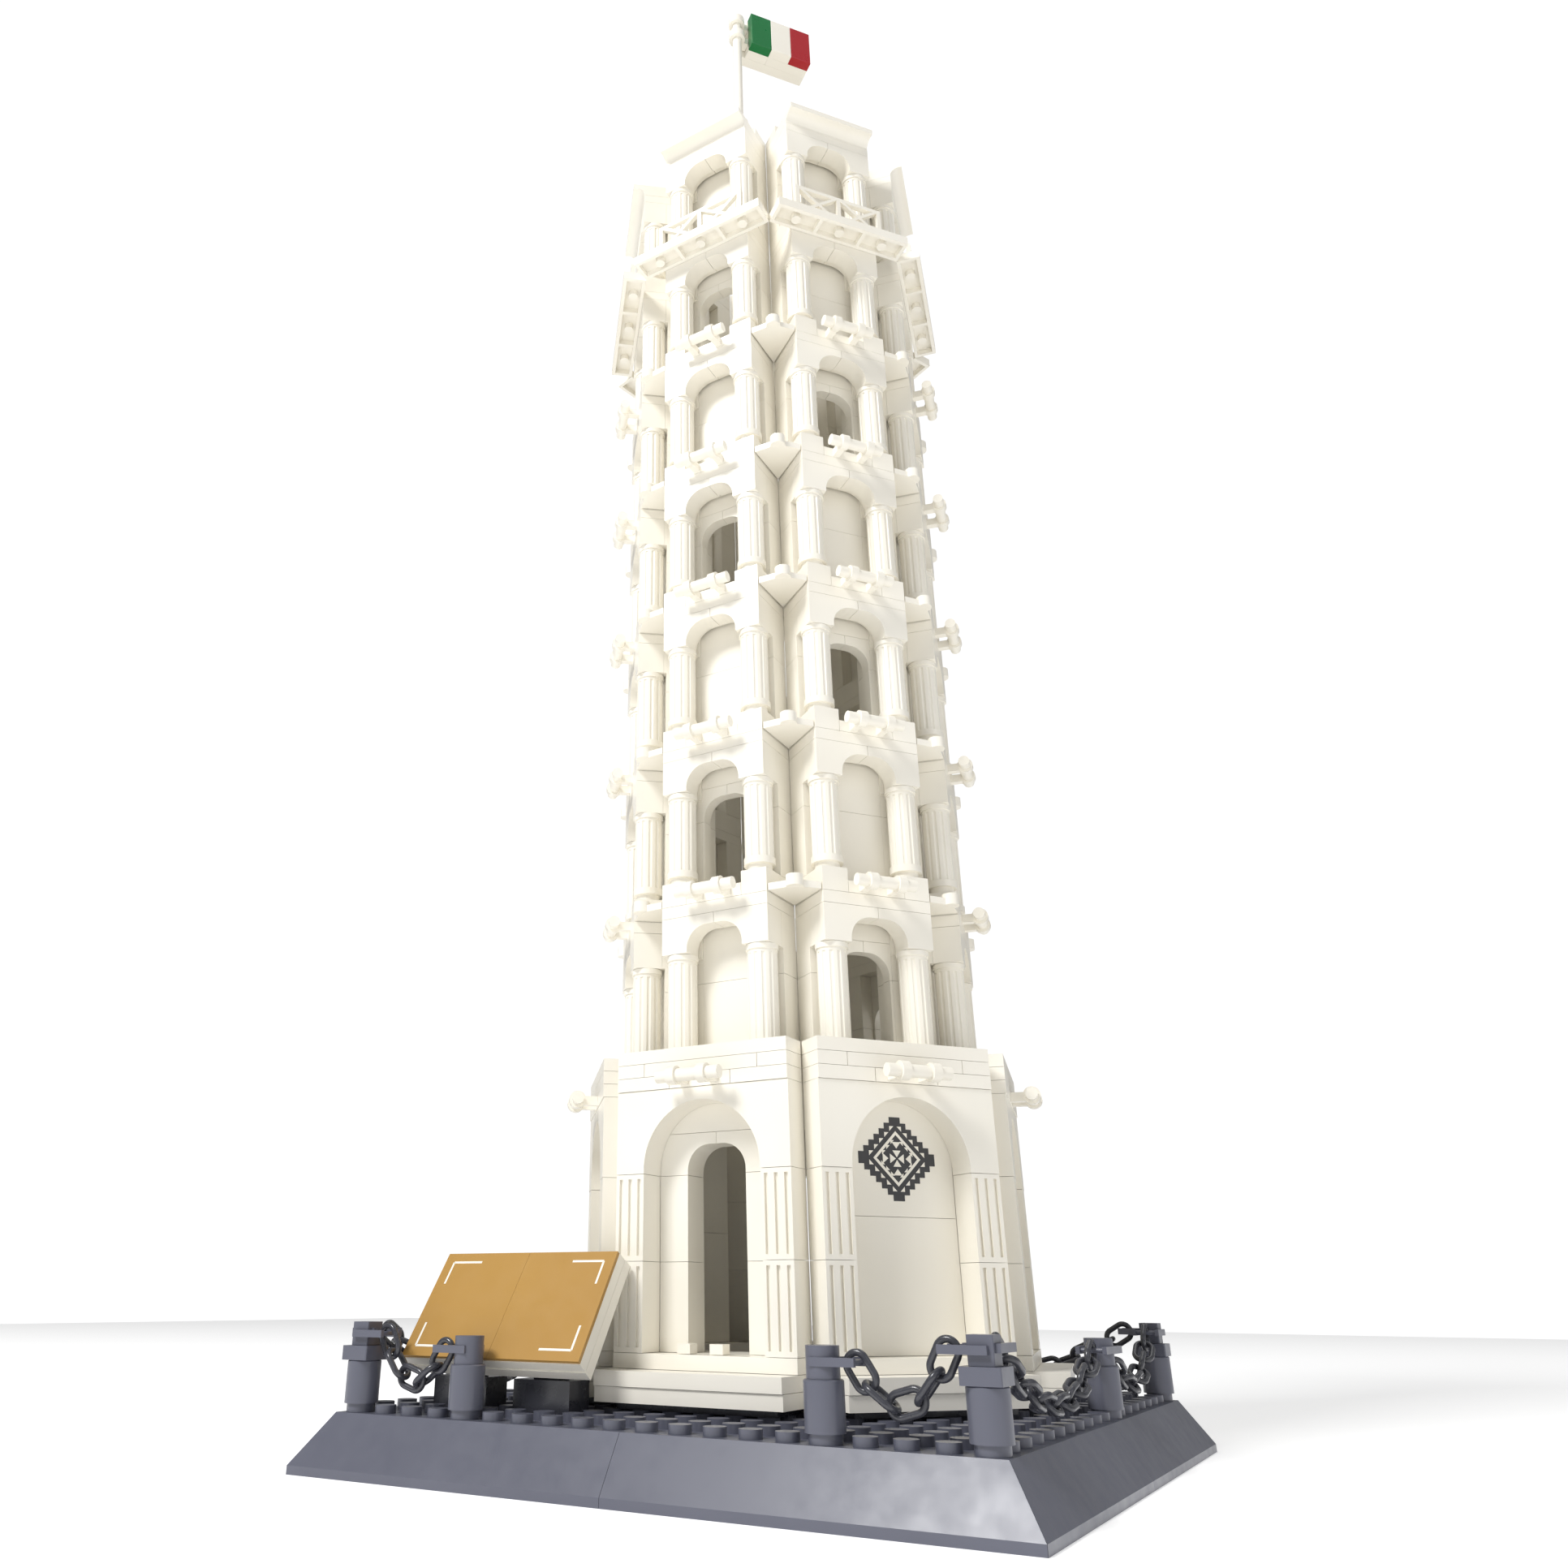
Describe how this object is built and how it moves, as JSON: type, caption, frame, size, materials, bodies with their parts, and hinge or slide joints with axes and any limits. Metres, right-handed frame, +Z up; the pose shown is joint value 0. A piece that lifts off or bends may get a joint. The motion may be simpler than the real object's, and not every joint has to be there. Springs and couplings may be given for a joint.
{
  "type": "miniature round tower model",
  "caption": "Brick-built miniature of a round arcaded bell tower on a square studded base, with post-and-chain fence, tilting sign and turning flag.",
  "frame": {"origin": "centre of the base's underside, on the table", "axes": "+Z up the tower, -Y towards the door and the sign, +X to the right seen from the front"},
  "size_m": [0.174, 0.174, 0.4825],
  "materials": {
    "ivory": "moulded plastic, satin to gloss",
    "grey": "moulded plastic, satin to gloss",
    "dark_grey": "moulded plastic, satin to gloss",
    "tan_gold": "moulded plastic, satin to gloss",
    "green": "moulded plastic, satin to gloss",
    "red": "moulded plastic, satin to gloss",
    "charcoal": "moulded plastic, satin to gloss"
  },
  "bodies": {
    "tower": {"arches_level_8": "ivory", "arches_levels_2_3": "ivory", "arches_levels_4_5": "ivory", "arches_levels_6_7": "ivory", "band_course_plates": "ivory", "bar_handles": "ivory", "base_plate": "grey", "base_riser_bricks": "grey", "base_slope_bricks": "grey", "column_pedestals": "ivory", "columns_level_8": "ivory", "columns_levels_2_3": "ivory", "columns_levels_4_5": "ivory", "columns_levels_6_7": "ivory", "corner_hinge_plates": "ivory", "corner_post_bricks": "grey", "corner_post_clips": "grey", "corner_post_collars": "grey", "door_walls": "ivory", "doorstep_tiles": "ivory", "flagpole": "ivory", "gallery_fences": "ivory", "gallery_floor_plates": "ivory", "ground_arches": "ivory", "ground_deck_bricks": "ivory", "ground_pilasters": "ivory", "lower_step_plates": "ivory", "middle_post_bricks": "grey", "middle_post_tops": "grey", "mosaic_diamonds": "charcoal", "mosaic_walls": "ivory", "plain_inner_walls": "ivory", "plinth_plates": "ivory", "roof_cornices": "ivory", "roof_plates": "ivory", "side_wall_bricks": "ivory", "sign_hinge_bases": "dark_grey", "sill_plates": "ivory", "storey_deck_bricks": "ivory", "tower_footing_plates": "dark_grey", "upper_floor_plates": "ivory", "upper_step_plates": "ivory", "window_inner_walls": "ivory"},
    "chain_back_left": {"chain_back_left": "dark_grey"},
    "chain_back_right": {"chain_back_right": "dark_grey"},
    "chain_front_left": {"chain_front_left": "dark_grey"},
    "chain_front_right": {"chain_front_right": "dark_grey"},
    "chain_left_far": {"chain_left_far": "dark_grey"},
    "chain_left_near": {"chain_left_near": "dark_grey"},
    "chain_right_far": {"chain_right_far": "dark_grey"},
    "chain_right_near": {"chain_right_near": "dark_grey"},
    "sign": {"sign_hinge_tops": "dark_grey", "sign_backing_plates": "ivory", "sign_face_tiles": "tan_gold"},
    "flag": {"flag_tile_green": "green", "flag_tile_white": "ivory", "flag_tile_red": "red", "flag_plates": "ivory", "flag_clips": "ivory"}
  },
  "joints": [
    {"name": "chain_front_left_swing", "type": "hinge", "parent": "tower", "child": "chain_front_left", "pos_m": [-0.0697, -0.076, 0.0306], "axis": [0.9897, 0, -0.1429], "range_deg": [-10, 8]},
    {"name": "chain_front_right_swing", "type": "hinge", "parent": "tower", "child": "chain_front_right", "pos_m": [0.0697, -0.076, 0.0306], "axis": [-0.9897, 0, -0.1429], "range_deg": [-20, 20]},
    {"name": "chain_right_near_swing", "type": "hinge", "parent": "tower", "child": "chain_right_near", "pos_m": [0.076, -0.0697, 0.0306], "axis": [0, 0.9993, -0.0371], "range_deg": [-20, 8]},
    {"name": "chain_right_far_swing", "type": "hinge", "parent": "tower", "child": "chain_right_far", "pos_m": [0.076, 0.0697, 0.0306], "axis": [0, -0.9985, -0.0544], "range_deg": [-1, 20]},
    {"name": "chain_back_right_swing", "type": "hinge", "parent": "tower", "child": "chain_back_right", "pos_m": [0.0697, 0.076, 0.0306], "axis": [-0.9993, 0, -0.0371], "range_deg": [-20, 5]},
    {"name": "chain_back_left_swing", "type": "hinge", "parent": "tower", "child": "chain_back_left", "pos_m": [-0.0697, 0.076, 0.0306], "axis": [0.9985, 0, -0.0544], "range_deg": [-5, 20]},
    {"name": "chain_left_far_swing", "type": "hinge", "parent": "tower", "child": "chain_left_far", "pos_m": [-0.076, 0.0697, 0.0306], "axis": [0, -0.9985, -0.0544], "range_deg": [-20, 10]},
    {"name": "chain_left_near_swing", "type": "hinge", "parent": "tower", "child": "chain_left_near", "pos_m": [-0.076, -0.0697, 0.0306], "axis": [0, 0.9993, -0.0371], "range_deg": [-10, 20]},
    {"name": "sign_tilt", "type": "hinge", "parent": "tower", "child": "sign", "pos_m": [-0.044, -0.06012, 0.02413], "axis": [1, 0, 0], "range_deg": [-2, 14]},
    {"name": "flag_turn", "type": "hinge", "parent": "tower", "child": "flag", "pos_m": [0.0141, -0.03762, 0.42315], "axis": [0, 0, 1], "continuous": true}
  ]
}
